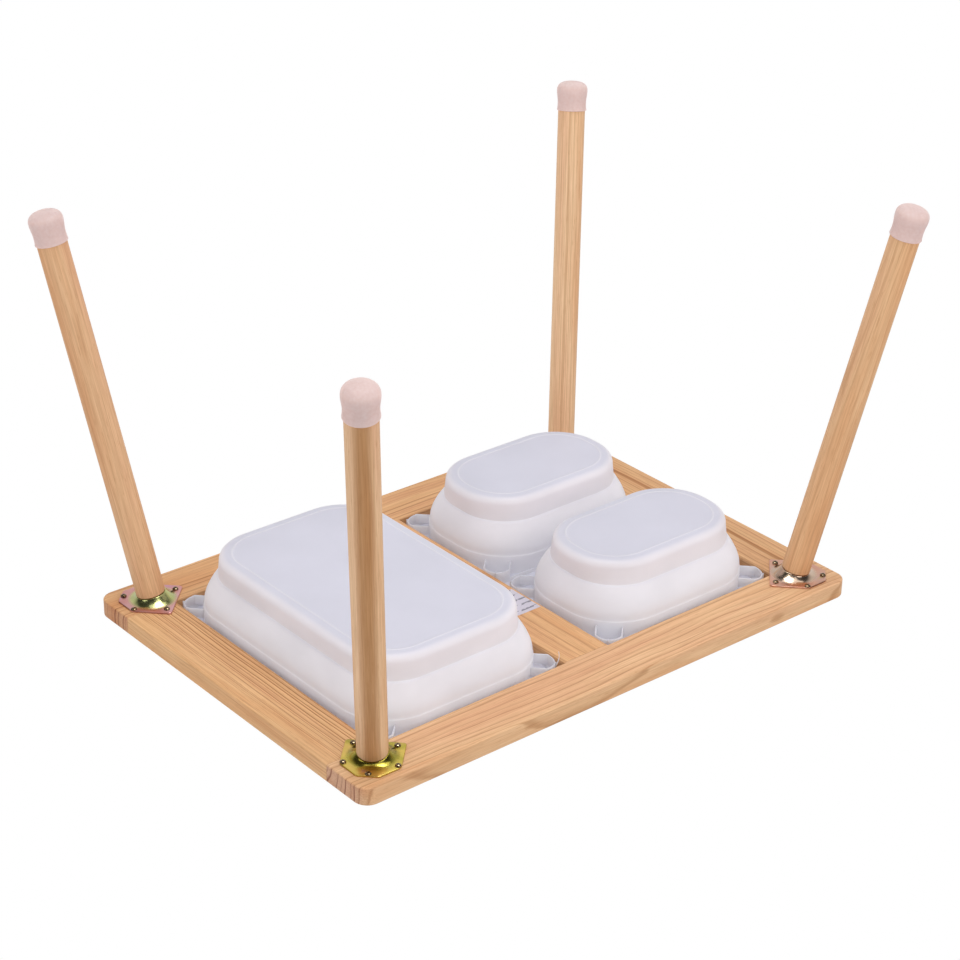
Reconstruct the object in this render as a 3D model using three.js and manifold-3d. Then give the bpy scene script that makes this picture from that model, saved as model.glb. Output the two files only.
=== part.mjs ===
// Sand and water table: a pine frame with two equal openings, three lift-out storage bins and four splayed
// round legs on pressed corner plates. Millimetres, +Z up, feet on z = 0, the long side along X.
import * as THREE from "three";
import { mergeVertices } from "three/addons/utils/BufferGeometryUtils.js";
import Module from "manifold-3d";

const wasm = await Module();
wasm.setup();

// ---- driving dimensions ----
const FRAME_LENGTH = 830;
const FRAME_WIDTH = 590;
const FRAME_THICK = 25;
const TABLE_HEIGHT = 569;
const RAIL_WIDTH = 74;
const CORNER_RADIUS = 20;
const CORNER_STEPS = 5;
const EDGE_EASE = 2.5;
const EASE_MIDDLE = 0.3;
const JOINT_GAP = 0.3;
const LEDGE_WIDTH = 8;
const LEDGE_DEPTH = 6;

const DOWEL_RADIUS = 4;
const DOWEL_LENGTH = 40;
const DOWEL_INSETS = [30, 62];
const CROSSBAR_DOWEL_OFFSETS = [-20, 20];
const DOWEL_END_SPACE = 1;
const ROD_SIDES = 12;

const LEG_INSET = 53;
const LEG_RADIUS = 19.5;
const LEG_LEAN_X = 0.14;
const LEG_LEAN_Y = 0.155;
const LEG_SIDES = 24;
const LEG_CHAMFER = 1.5;
const LEG_IN_CAP = 33;

const PLATE_THICK = 2.2;
const SEAT_HEIGHT = 10.4;
const SEAT_RADIUS = 20;
const SEAT_BASE_RADIUS = 30;

const SCREW_HEAD_RADIUS = 4.2;
const SCREW_HEAD_HEIGHT = 3;
const SCREW_SHANK_RADIUS = 2;
const SCREW_LENGTH = 18;
const SCREW_TIP = 3;
const SCREW_SIDES = 10;

const BOLT_RADIUS = 4;
const BOLT_IN_LEG = 40;
const BOLT_IN_SEAT = 4;

const CAP_LENGTH = 42;
const CAP_WIDEST_AT = 28;
const CAP_WIDEST_RADIUS = 22.1;
const CAP_LIP_RADIUS = 21.3;
const CAP_NECK_RADIUS = 20.5;
const CAP_NECK_AT = 11;
const CAP_LIP_LENGTH = 2;
const CAP_BORE_CLEARANCE = 0.25;
// The dome is a superellipse of this power, a little squarer than a plain ellipse.
const DOME_POWER = 2.6;
const DOME_STEPS = 6;

const BIN_WALL = 2;
const BIN_CORNER_STEPS = 6;
const RIM_THICK = 3;
const RIM_CLEARANCE = 1;
const RIM_OVERHANG = 10;
const RIM_RADIUS = 6;
const SKIRT_THICK = 2;
const SKIRT_DEPTH = 12;
const SKIRT_RADIUS = 20;
const CORNER_WALL_DEPTH = 24;
const CORNER_WALL_LEG = 25;
const SMALL_BIN_SPACE = 0.2;

// Half sizes and corner radius of the bins' walls: the lower part, and the wider part above the crease.
const LARGE_BASE = { a: 128.5, b: 197, r: 72 };
const LARGE_UPPER = { a: 144, b: 213, r: 80 };
const SMALL_BASE = { a: 128.5, b: 78, r: 73 };
const SMALL_UPPER = { a: 144, b: 98.9, r: 84 };
// Outside of a bin from its bottom up, as [depth, inset from the base], then the crease as the base's growth.
const BASE_OUTSIDE = [[109, 11], [107.5, 5.5], [103.5, 1.5], [98, 0]];
const CREASE = { outside: 76, inside: 74.5, a: -1.5, b: 2, r: -5 };
// The shoulder's rounding: [depth, insets of a, b and r from the wider part].
const SHOULDER_OUTSIDE = [[72.5, 10, 8.5, 9], [67, 3.5, 3, 3], [60, 0, 0, 0]];
const SHOULDER_INSIDE = [[58.5, 0], [65, 3.5], [70.5, 9.5]];
const BASE_INSIDE = [[98, 0], [104, 2.8], [107, 9]];
const UPPER_GROWTH = 0.5;

const LABEL_SIZE = [39, 60, 0.3];
const LABEL_AT = [13, 63];

// ---- places worked out from them ----
const UNDERSIDE = TABLE_HEIGHT - FRAME_THICK;
const HALF_L = FRAME_LENGTH / 2;
const HALF_W = FRAME_WIDTH / 2;
const OPENING_X = (FRAME_LENGTH - 3 * RAIL_WIDTH) / 2;
const OPENING_Y = FRAME_WIDTH - 2 * RAIL_WIDTH;
const OPENING_CENTRE = (OPENING_X + RAIL_WIDTH) / 2;
const AXIS = new THREE.Vector3(-LEG_LEAN_X, -LEG_LEAN_Y, 1);
const AXIS_STRETCH = AXIS.length();
const SEAT_AT = SEAT_HEIGHT * AXIS_STRETCH;
const LEG_START = SEAT_AT + JOINT_GAP;

// ---- materials ----
function material(name, color, roughness, metalness) {
  const made = new THREE.MeshStandardMaterial({ color, roughness, metalness });
  made.name = name;
  return made;
}
const PINE = material("pine", 0xdcb087, 0.55, 0);
const BEECH = material("dowel_wood", 0xd2b48c, 0.6, 0);
const ZINC = material("yellow_zinc", 0xb1994f, 0.25, 1);
const STEEL = material("screw_steel", 0x9a9a98, 0.3, 1);
const BIN_PLASTIC = material("bin_plastic", 0xdcdae2, 0.35, 0);
const SILICONE = material("silicone", 0xd8c4c6, 0.45, 0);
const PAPER = material("label_paper", 0xf2f0f2, 0.7, 0);

// ---- solids ----
function solid(geometry) {
  const bare = new THREE.BufferGeometry();
  bare.setAttribute("position", geometry.getAttribute("position"));
  bare.setIndex(geometry.getIndex());
  const merged = mergeVertices(bare, 1e-4);
  return new wasm.Manifold(
    new wasm.Mesh({
      numProp: 3,
      vertProperties: new Float32Array(merged.attributes.position.array),
      triVerts: new Uint32Array(merged.index.array),
    }),
  );
}

function geometryOf(manifold) {
  const mesh = manifold.getMesh();
  const made = new THREE.BufferGeometry();
  const position = new THREE.BufferAttribute(new Float32Array(mesh.vertProperties), mesh.numProp);
  made.setAttribute("position", position);
  made.setIndex(new THREE.BufferAttribute(new Uint32Array(mesh.triVerts), 1));
  return made;
}

// A closed skin over loops of [x, y, z] points, each loop running anticlockwise seen from the last loop's side.
function loft(loops) {
  const count = loops[0].length;
  const points = loops.flat();
  const index = [];
  for (let i = 0; i + 1 < loops.length; i++) {
    for (let j = 0; j < count; j++) {
      const k = (j + 1) % count;
      const a = i * count + j;
      const b = i * count + k;
      index.push(a, b, b + count, a, b + count, a + count);
    }
  }
  const last = (loops.length - 1) * count;
  for (let j = 1; j + 1 < count; j++) {
    index.push(0, j + 1, j);
    index.push(last, last + j, last + j + 1);
  }
  const made = new THREE.BufferGeometry();
  made.setAttribute("position", new THREE.Float32BufferAttribute(points.flat(), 3));
  made.setIndex(index);
  return solid(made);
}

function boxBetween(lo, hi) {
  const made = new THREE.BoxGeometry(hi[0] - lo[0], hi[1] - lo[1], hi[2] - lo[2]);
  made.translate((lo[0] + hi[0]) / 2, (lo[1] + hi[1]) / 2, (lo[2] + hi[2]) / 2);
  return solid(made);
}

// The outline of a rectangle with round corners, anticlockwise from above. a and b are its half sizes.
function roundedLoop(cx, cy, z, a, b, r, steps) {
  const loop = [];
  for (let corner = 0; corner < 4; corner++) {
    const sx = corner === 0 || corner === 3 ? 1 : -1;
    const sy = corner < 2 ? 1 : -1;
    for (let i = 0; i <= steps; i++) {
      const t = ((corner + i / steps) * Math.PI) / 2;
      loop.push([
        cx + sx * (a - r) + r * Math.cos(t),
        cy + sy * (b - r) + r * Math.sin(t),
        z,
      ]);
    }
  }
  return loop;
}

// A turned solid about +Z from [radius, z] pairs that start and end on the axis, z rising.
function turned(profile, sides) {
  const points = profile.map(([r, z]) => new THREE.Vector2(r, z));
  return solid(new THREE.LatheGeometry(points, sides).rotateX(Math.PI / 2));
}

function rod(radius, from, to, sides) {
  return turned([[0, from], [radius, from], [radius, to], [0, to]], sides);
}

// A manifold moved by a THREE.Matrix4.
function moved(shape, matrix) {
  return shape.transform(matrix.elements);
}

// ---- the corner frame: x and y run inwards from the frame's corner, z runs down from the underside ----
const CORNERS = [
  { name: "front_left", sx: -1, sy: -1 },
  { name: "front_right", sx: 1, sy: -1 },
  { name: "back_right", sx: 1, sy: 1 },
  { name: "back_left", sx: -1, sy: 1 },
];

function cornerMatrix({ sx, sy }) {
  const matrix = new THREE.Matrix4().makeScale(-sx, -sy, -1);
  matrix.setPosition(sx * HALF_L, sy * HALF_W, UNDERSIDE);
  return matrix;
}

// The leg's own frame inside a corner frame: its origin on the underside, +Z down the leg.
function legMatrix() {
  const turn = new THREE.Quaternion().setFromUnitVectors(
    new THREE.Vector3(0, 0, 1),
    AXIS.clone().normalize(),
  );
  const origin = new THREE.Vector3(LEG_INSET, LEG_INSET, 0);
  return new THREE.Matrix4().compose(origin, turn, new THREE.Vector3(1, 1, 1));
}

// From (along the corner's diagonal, across it) to the corner frame.
function fromDiagonal(u, v) {
  return [(u + v) / Math.SQRT2, (u - v) / Math.SQRT2];
}

const SCREW_PLACES = [[35.5, 0], [57, 33.3], [57, -33.3], [100, 27], [100, -27]];

// ---- leg plate ----
const PLATE_OUTLINE = [
  [31.5, -14],
  [55, -37.5],
  [104.5, -37.5],
  [108, -34],
  [108, 34],
  [104.5, 37.5],
  [55, 37.5],
  [31.5, 14],
];

function circleOnAxis(radius, at, steps) {
  const matrix = legMatrix();
  const loop = [];
  for (let i = 0; i < steps; i++) {
    const t = (i / steps) * 2 * Math.PI;
    const p = new THREE.Vector3(radius * Math.cos(t), radius * Math.sin(t), at).applyMatrix4(matrix);
    loop.push([p.x, p.y, p.z]);
  }
  return loop;
}

function circleLevel(radius, height, steps) {
  const loop = [];
  for (let i = 0; i < steps; i++) {
    const t = (i / steps) * 2 * Math.PI;
    loop.push([
      LEG_INSET - LEG_LEAN_X * height + radius * Math.cos(t),
      LEG_INSET - LEG_LEAN_Y * height + radius * Math.sin(t),
      height,
    ]);
  }
  return loop;
}

function plateShape() {
  const outline = PLATE_OUTLINE.map(([u, v]) => fromDiagonal(u, v)).reverse();
  const flat = loft([
    outline.map(([x, y]) => [x, y, 0]),
    outline.map(([x, y]) => [x, y, PLATE_THICK]),
  ]);
  const seat = loft([
    circleLevel(SEAT_BASE_RADIUS + 1, PLATE_THICK / 2, LEG_SIDES),
    circleOnAxis(SEAT_RADIUS, SEAT_AT, LEG_SIDES),
  ]);
  const hollow = loft([
    circleLevel(SEAT_BASE_RADIUS - 1, -1, LEG_SIDES),
    circleOnAxis(SEAT_RADIUS - PLATE_THICK, SEAT_AT - PLATE_THICK, LEG_SIDES),
  ]);
  const boltHole = moved(rod(BOLT_RADIUS + JOINT_GAP, 0, SEAT_AT + PLATE_THICK, ROD_SIDES), legMatrix());
  let shape = flat.add(seat).subtract(hollow).subtract(boltHole);
  for (const place of SCREW_PLACES) shape = shape.subtract(screwHole(place));
  return shape;
}

// ---- screws: the hole runs through the plate and into the wood above it ----
function screwHole([u, v]) {
  const [x, y] = fromDiagonal(u, v);
  const hole = rod(SCREW_SHANK_RADIUS + JOINT_GAP, -SCREW_LENGTH - 0.5, PLATE_THICK + 1, SCREW_SIDES);
  return hole.translate([x, y, 0]);
}

function screwShape([u, v]) {
  const [x, y] = fromDiagonal(u, v);
  const profile = [
    [0, -SCREW_LENGTH],
    [SCREW_SHANK_RADIUS, SCREW_TIP - SCREW_LENGTH],
    [SCREW_SHANK_RADIUS, PLATE_THICK],
    [SCREW_HEAD_RADIUS, PLATE_THICK],
    [SCREW_HEAD_RADIUS * 0.86, PLATE_THICK + SCREW_HEAD_HEIGHT * 0.65],
    [SCREW_HEAD_RADIUS * 0.4, PLATE_THICK + SCREW_HEAD_HEIGHT],
    [0, PLATE_THICK + SCREW_HEAD_HEIGHT],
  ];
  return turned(profile, SCREW_SIDES).translate([x, y, 0]);
}

// ---- leg, its bolt and its foot cap, all along the leg's own axis ----
// The dome's lowest point touches the floor, which sets how far down the leg the cap's rim lies.
function capRimAt() {
  const dome = CAP_LENGTH - CAP_WIDEST_AT;
  const slope = Math.hypot(LEG_LEAN_X, LEG_LEAN_Y) / AXIS_STRETCH;
  const dual = DOME_POWER / (DOME_POWER - 1);
  const drop = ((dome / AXIS_STRETCH) ** dual + (CAP_WIDEST_RADIUS * slope) ** dual) ** (1 / dual);
  return (UNDERSIDE - drop) * AXIS_STRETCH - CAP_WIDEST_AT;
}

function legShape() {
  const end = capRimAt() + LEG_IN_CAP;
  const body = turned(
    [
      [0, LEG_START],
      [LEG_RADIUS - LEG_CHAMFER, LEG_START],
      [LEG_RADIUS, LEG_START + LEG_CHAMFER],
      [LEG_RADIUS, end - LEG_CHAMFER],
      [LEG_RADIUS - LEG_CHAMFER, end],
      [0, end],
    ],
    LEG_SIDES,
  );
  return body.subtract(rod(BOLT_RADIUS + JOINT_GAP, 0, LEG_START + BOLT_IN_LEG + 1, ROD_SIDES));
}

function boltShape() {
  const from = SEAT_AT - PLATE_THICK - BOLT_IN_SEAT;
  return rod(BOLT_RADIUS, from, LEG_START + BOLT_IN_LEG, ROD_SIDES);
}

function capShape() {
  const rim = capRimAt();
  const bore = LEG_RADIUS + CAP_BORE_CLEARANCE;
  const dome = CAP_LENGTH - CAP_WIDEST_AT;
  const profile = [
    [0, rim + LEG_IN_CAP + JOINT_GAP],
    [LEG_RADIUS - LEG_CHAMFER + CAP_BORE_CLEARANCE, rim + LEG_IN_CAP + JOINT_GAP],
    [bore, rim + LEG_IN_CAP - LEG_CHAMFER],
    [bore, rim],
    [CAP_LIP_RADIUS, rim],
    [CAP_LIP_RADIUS, rim + CAP_LIP_LENGTH],
    [CAP_NECK_RADIUS, rim + CAP_NECK_AT],
    [(CAP_NECK_RADIUS + CAP_WIDEST_RADIUS) / 2, rim + (CAP_NECK_AT + CAP_WIDEST_AT) / 2],
  ];
  for (let i = 0; i <= DOME_STEPS; i++) {
    const t = ((i / DOME_STEPS) * Math.PI) / 2;
    profile.push([
      i === DOME_STEPS ? 0 : CAP_WIDEST_RADIUS * Math.cos(t) ** (2 / DOME_POWER),
      rim + CAP_WIDEST_AT + dome * Math.sin(t) ** (2 / DOME_POWER),
    ]);
  }
  return turned(profile, LEG_SIDES);
}

// ---- bins ----
// One bin hangs by its rim on the ledge cut into the frame. halfB is the half length of its rim along Y.
function binShape(cx, cy, halfB, base, upper) {
  const rimA = OPENING_X / 2 + LEDGE_WIDTH - RIM_CLEARANCE;
  const ring = (depth, a, b, r) =>
    roundedLoop(cx, cy, TABLE_HEIGHT - depth, a, b, r, BIN_CORNER_STEPS);
  const within = (depth, part, inset) => ring(depth, part.a - inset, part.b - inset, part.r - inset);
  const crease = { a: base.a + CREASE.a, b: base.b + CREASE.b, r: base.r + CREASE.r };
  const rimUnder = LEDGE_DEPTH - JOINT_GAP;
  const rimTop = rimUnder - RIM_THICK;
  const skirt = { a: rimA - RIM_OVERHANG, b: halfB - RIM_OVERHANG, r: SKIRT_RADIUS };
  const rings = BASE_OUTSIDE.map(([depth, inset]) => within(depth, base, inset));
  rings.push(within(CREASE.outside, crease, 0));
  for (const [depth, a, b, r] of SHOULDER_OUTSIDE)
    rings.push(ring(depth, upper.a - a, upper.b - b, upper.r - r));
  rings.push(ring(rimUnder, upper.a + UPPER_GROWTH, upper.b + UPPER_GROWTH, upper.r));
  rings.push(within(rimUnder, skirt, SKIRT_THICK));
  rings.push(within(SKIRT_DEPTH, skirt, SKIRT_THICK));
  rings.push(within(SKIRT_DEPTH, skirt, 0));
  rings.push(within(rimUnder, skirt, 0));
  rings.push(ring(rimUnder, rimA, halfB, RIM_RADIUS));
  rings.push(ring(rimTop, rimA, halfB, RIM_RADIUS));
  // Inside, from the mouth to the floor.
  rings.push(within(rimTop, upper, BIN_WALL));
  for (const [depth, inset] of SHOULDER_INSIDE) rings.push(within(depth, upper, BIN_WALL + inset));
  rings.push(within(CREASE.inside, crease, BIN_WALL));
  for (const [depth, inset] of BASE_INSIDE) rings.push(within(depth, base, BIN_WALL + inset));
  return cornerWalls(loft(rings), cx, cy, skirt, upper);
}

// The deeper wall at each corner of the skirt: round the corner, then in to the bin's wall, parallel to the
// corner's diagonal.
function cornerWalls(shell, cx, cy, skirt, upper) {
  const top = TABLE_HEIGHT - LEDGE_DEPTH + BIN_WALL / 2;
  const foot = TABLE_HEIGHT - CORNER_WALL_DEPTH;
  const outline = (inset, z) =>
    roundedLoop(cx, cy, z, skirt.a - inset, skirt.b - inset, skirt.r - inset, BIN_CORNER_STEPS);
  const outer = loft([outline(0, foot), outline(0, top)]);
  const bore = loft([outline(SKIRT_THICK, foot - 1), outline(SKIRT_THICK, top + 1)]);
  const hoop = outer.subtract(bore);
  let made = shell;
  for (const [sx, sy] of [[1, 1], [-1, 1], [-1, -1], [1, -1]]) {
    const x = [cx + sx * (skirt.a - CORNER_WALL_LEG), cx + sx * (skirt.a + 1)];
    const y = [cy + sy * (skirt.b - CORNER_WALL_LEG), cy + sy * (skirt.b + 1)];
    const corner = boxBetween(
      [Math.min(...x), Math.min(...y), foot],
      [Math.max(...x), Math.max(...y), top],
    );
    made = made.add(hoop.intersect(corner));
    for (const arm of [wallArm(skirt, upper, 1, 0), wallArm(skirt, upper, 0, 1)]) {
      const points = arm.map(([ax, ay]) => [cx + sx * ax, cy + sy * ay]);
      if (sx * sy < 0) points.reverse();
      made = made.add(loft([foot, top].map((z) => points.map(([px, py]) => [px, py, z]))));
    }
  }
  return made;
}

// The plan of one arm in the (+, +) corner, anticlockwise: from the end of the leg along X or along Y
// straight in to the middle of the bin's wall.
function wallArm(skirt, upper, alongX, alongY) {
  const start = [skirt.a - CORNER_WALL_LEG * alongX - 0.5, skirt.b - CORNER_WALL_LEG * alongY - 0.5];
  const from = [start[0] - (upper.a - upper.r), start[1] - (upper.b - upper.r)];
  const along = (from[0] + from[1]) / Math.SQRT2;
  const radius = upper.r - BIN_WALL / 2;
  const reach = along - Math.sqrt(along ** 2 - (from[0] ** 2 + from[1] ** 2 - radius ** 2));
  const step = reach / Math.SQRT2;
  const half = SKIRT_THICK / 2 / Math.SQRT2;
  return [
    [start[0] - half, start[1] + half],
    [start[0] - step - half, start[1] - step + half],
    [start[0] - step + half, start[1] - step - half],
    [start[0] + half, start[1] - half],
  ];
}

// ---- the wooden frame ----
function frameBlank() {
  const loop = (z, inset) =>
    roundedLoop(0, 0, z, HALF_L - inset, HALF_W - inset, CORNER_RADIUS - inset, CORNER_STEPS);
  const ease = EDGE_EASE;
  let blank = loft([
    loop(UNDERSIDE, ease),
    loop(UNDERSIDE + ease * EASE_MIDDLE, ease * EASE_MIDDLE),
    loop(UNDERSIDE + ease, 0),
    loop(TABLE_HEIGHT - ease, 0),
    loop(TABLE_HEIGHT - ease * EASE_MIDDLE, ease * EASE_MIDDLE),
    loop(TABLE_HEIGHT, ease),
  ]);
  for (const side of [-1, 1]) {
    const rect = (z, grow) => {
      const a = OPENING_X / 2 + grow;
      const b = OPENING_Y / 2 + grow;
      const x = side * OPENING_CENTRE;
      return [[x + a, -b, z], [x + a, b, z], [x - a, b, z], [x - a, -b, z]];
    };
    const ledge = TABLE_HEIGHT - LEDGE_DEPTH;
    blank = blank.subtract(
      loft([
        rect(UNDERSIDE - 1, ease + 1),
        rect(UNDERSIDE + ease, 0),
        rect(ledge, 0),
        rect(ledge, LEDGE_WIDTH),
        rect(TABLE_HEIGHT + 1, LEDGE_WIDTH),
      ]),
    );
  }
  return blank;
}

function dowelPlaces() {
  const places = [];
  for (const sy of [-1, 1]) {
    const side = sy < 0 ? "front" : "back";
    const xs = [
      ...DOWEL_INSETS.map((inset) => inset - HALF_L),
      ...CROSSBAR_DOWEL_OFFSETS,
      ...DOWEL_INSETS.map((inset) => HALF_L - inset).reverse(),
    ];
    xs.forEach((x, i) => places.push({ name: `dowel_${side}_${i + 1}`, x, y: (sy * OPENING_Y) / 2 }));
  }
  return places;
}

function dowelShape(place, radius, length) {
  const turn = new THREE.Matrix4().makeRotationX(-Math.PI / 2);
  turn.setPosition(place.x, place.y, UNDERSIDE + FRAME_THICK / 2);
  return moved(rod(radius, -length / 2, length / 2, ROD_SIDES), turn);
}

// ---- the assembly ----
const table = new THREE.Group();
table.name = "sand_and_water_table";

function addPiece(name, shape, finish) {
  const mesh = new THREE.Mesh(geometryOf(shape), finish);
  mesh.name = name;
  table.add(mesh);
}

function addFrame() {
  const blank = frameBlank();
  const dowels = dowelPlaces();
  const rails = [
    ["long_rail_front", [-HALF_L - 1, -HALF_W - 1], [HALF_L + 1, -OPENING_Y / 2]],
    ["long_rail_back", [-HALF_L - 1, OPENING_Y / 2], [HALF_L + 1, HALF_W + 1]],
    ["end_rail_left", [-HALF_L - 1, null], [-OPENING_X - RAIL_WIDTH / 2 + 1, null]],
    ["crossbar", [-RAIL_WIDTH / 2 - 1, null], [RAIL_WIDTH / 2 + 1, null]],
    ["end_rail_right", [OPENING_X + RAIL_WIDTH / 2 - 1, null], [HALF_L + 1, null]],
  ];
  let holes = null;
  for (const place of dowels) {
    const hole = dowelShape(place, DOWEL_RADIUS + JOINT_GAP, DOWEL_LENGTH + DOWEL_END_SPACE);
    holes = holes ? holes.add(hole) : hole;
  }
  for (const corner of CORNERS)
    for (const place of SCREW_PLACES) holes = holes.add(moved(screwHole(place), cornerMatrix(corner)));
  const inner = OPENING_Y / 2 - JOINT_GAP;
  for (const [name, lo, hi] of rails) {
    const block = boxBetween(
      [lo[0], lo[1] ?? -inner, UNDERSIDE - 1],
      [hi[0], hi[1] ?? inner, TABLE_HEIGHT + 1],
    );
    addPiece(name, blank.intersect(block).subtract(holes), PINE);
  }
  for (const place of dowels) addPiece(place.name, dowelShape(place, DOWEL_RADIUS, DOWEL_LENGTH), BEECH);
}

function addCorner(corner) {
  const place = cornerMatrix(corner);
  const alongLeg = place.clone().multiply(legMatrix());
  addPiece(`leg_plate_${corner.name}`, moved(plateShape(), place), ZINC);
  SCREW_PLACES.forEach((at, i) =>
    addPiece(`screw_${corner.name}_${i + 1}`, moved(screwShape(at), place), STEEL),
  );
  addPiece(`hanger_bolt_${corner.name}`, moved(boltShape(), alongLeg), STEEL);
  addPiece(`leg_${corner.name}`, moved(legShape(), alongLeg), PINE);
  addPiece(`foot_cap_${corner.name}`, moved(capShape(), alongLeg), SILICONE);
}

function addBins() {
  const long = OPENING_Y / 2 + LEDGE_WIDTH - RIM_CLEARANCE;
  addPiece("large_bin", binShape(-OPENING_CENTRE, 0, long, LARGE_BASE, LARGE_UPPER), BIN_PLASTIC);
  const half = (long - SMALL_BIN_SPACE) / 2;
  for (const [name, sy] of [["small_bin_front", -1], ["small_bin_back", 1]]) {
    const cy = sy * (long - half);
    addPiece(name, binShape(OPENING_CENTRE, cy, half, SMALL_BASE, SMALL_UPPER), BIN_PLASTIC);
  }
}

function addLabel() {
  const [x, y, z] = LABEL_SIZE;
  const lo = [LABEL_AT[0] - x / 2, LABEL_AT[1] - y / 2, UNDERSIDE - z];
  const hi = [LABEL_AT[0] + x / 2, LABEL_AT[1] + y / 2, UNDERSIDE];
  addPiece("label", boxBetween(lo, hi), PAPER);
}

addFrame();
CORNERS.forEach(addCorner);
addBins();
addLabel();

export default table;
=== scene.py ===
"""Looks for the sand and water table: a pine frame with lift-out storage bins and splayed round legs.

The frame is in metres, +Z up, with the feet on z = 0. The CAD part gives the sizes and the bodies. All that
is seen is built here as finer geometry that stands for its CAD node.
"""

import math

import bmesh
import bpy
from mathutils import Matrix, Vector


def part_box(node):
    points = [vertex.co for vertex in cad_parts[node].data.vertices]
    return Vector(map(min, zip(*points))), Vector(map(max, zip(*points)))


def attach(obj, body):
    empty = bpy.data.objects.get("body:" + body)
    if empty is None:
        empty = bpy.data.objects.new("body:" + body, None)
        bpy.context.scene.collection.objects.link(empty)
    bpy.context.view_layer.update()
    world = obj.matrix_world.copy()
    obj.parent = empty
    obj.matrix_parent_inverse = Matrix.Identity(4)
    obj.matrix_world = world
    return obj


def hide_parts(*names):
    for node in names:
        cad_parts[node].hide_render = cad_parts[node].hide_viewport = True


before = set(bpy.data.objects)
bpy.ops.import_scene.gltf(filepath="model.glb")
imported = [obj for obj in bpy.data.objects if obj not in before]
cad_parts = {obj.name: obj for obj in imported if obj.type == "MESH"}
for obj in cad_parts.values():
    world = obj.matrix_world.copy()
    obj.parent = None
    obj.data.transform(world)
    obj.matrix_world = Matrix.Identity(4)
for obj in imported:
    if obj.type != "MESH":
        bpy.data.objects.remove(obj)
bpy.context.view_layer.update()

MM = 0.001

# ---- sizes, in millimetres, as in the CAD part ----
LENGTH, WIDTH, THICK = 830, 590, 25
HEIGHT = 569
RAIL = 74
CORNER_R = 20
EASE, EASE_STEPS = 2.5, 6
GAP = 0.3
LEDGE_W, LEDGE_D = 8, 6
UNDER = HEIGHT - THICK
OPEN_X = (LENGTH - 3 * RAIL) / 2
OPEN_Y = WIDTH - 2 * RAIL
OPEN_CENTRE = (OPEN_X + RAIL) / 2
LEG_INSET = 53
LEG_R = 19.5
LEAN = (0.14, 0.155)
PLATE_T = 2.2
SEAT_H, SEAT_R, SEAT_BASE_R = 10.4, 20, 30
CAP_LENGTH, CAP_WIDE_AT, CAP_WIDE_R = 42, 28, 22.1
CAP_SQUARE = 2.6
CAP_LIP_R, CAP_NECK_R, CAP_NECK_AT = 21.3, 20.5, 11
LEG_IN_CAP = 33
STRETCH = math.sqrt(1 + LEAN[0] ** 2 + LEAN[1] ** 2)
CORNERS = {
    "front_left": (-1, -1),
    "front_right": (1, -1),
    "back_right": (1, 1),
    "back_left": (-1, 1),
}
# Places of a plate's screws, along the corner's diagonal and across it.
SCREWS = [(35.5, 0), (57, 33.3), (57, -33.3), (100, 27), (100, -27)]
# The bins: depths are measured down from the table's top.
RIM_T, RIM_R, RIM_CLEAR, RIM_OVERHANG = 3, 6, 1, 10
SKIRT_R, SKIRT_D = 20, 12
BIN_D, BIN_EDGE_R = 109, 11
CREASE_D = 76
BIN_GAP = 0.2
# Half sizes and corner radius of the bins' walls: the base below the crease, and the wider part above it.
LARGE_BASE, LARGE_WIDE = (128.5, 197, 72), (144, 213, 74)
SMALL_BASE, SMALL_WIDE = (128.5, 78, 73), (144, 98.9, 82)

# ---- the main view, in metres and degrees ----
CAMERA_AT = Vector((-1.81597, 2.16970, -1.05458))
CAMERA_AHEAD = Vector((0.572625, -0.683520, 0.452661))
CAMERA_ROLL = -0.884
CAMERA_ANGLE = 22.6124


# ---- geometry helpers ----
def smooth(mesh, degrees):
    """Shades a mesh smooth, with edges sharper than that angle kept crisp."""
    bm = bmesh.new()
    bm.from_mesh(mesh)
    bmesh.ops.remove_doubles(bm, verts=bm.verts, dist=1e-6)
    bmesh.ops.recalc_face_normals(bm, faces=bm.faces)
    for face in bm.faces:
        face.smooth = True
    for edge in bm.edges:
        edge.smooth = edge.calc_face_angle(0) < math.radians(degrees)
    bm.to_mesh(mesh)
    bm.free()


def mesh_of(name, verts, faces, degrees=35):
    """A mesh from millimetre points."""
    mesh = bpy.data.meshes.new(name)
    mesh.from_pydata([tuple(c * MM for c in v) for v in verts], [], faces)
    smooth(mesh, degrees)
    return mesh


def loft(loops):
    """Vertices and faces of a closed skin over loops that all have one count."""
    count = len(loops[0])
    verts = [p for loop in loops for p in loop]
    faces = []
    for i in range(len(loops) - 1):
        for j in range(count):
            k = (j + 1) % count
            a, b = i * count + j, i * count + k
            faces.append((a, b, b + count, a + count))
    last = (len(loops) - 1) * count
    faces.append(tuple(range(count - 1, -1, -1)))
    faces.append(tuple(range(last, last + count)))
    return verts, faces


def turned(profile, sides=64):
    """A solid of revolution about Z from (radius, z) pairs that start and end on the axis."""
    rings = [p for p in profile if p[0] > 0]
    verts, faces = [], []
    for r, z in rings:
        for j in range(sides):
            t = 2 * math.pi * j / sides
            verts.append((r * math.cos(t), r * math.sin(t), z))
    for i in range(len(rings) - 1):
        for j in range(sides):
            k = (j + 1) % sides
            a, b = i * sides + j, i * sides + k
            faces.append((a, b, b + sides, a + sides))
    verts += [(0, 0, profile[0][1]), (0, 0, profile[-1][1])]
    first, last = len(verts) - 2, len(verts) - 1
    top = (len(rings) - 1) * sides
    for j in range(sides):
        k = (j + 1) % sides
        faces.append((first, k, j))
        faces.append((last, top + j, top + k))
    return verts, faces


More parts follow.
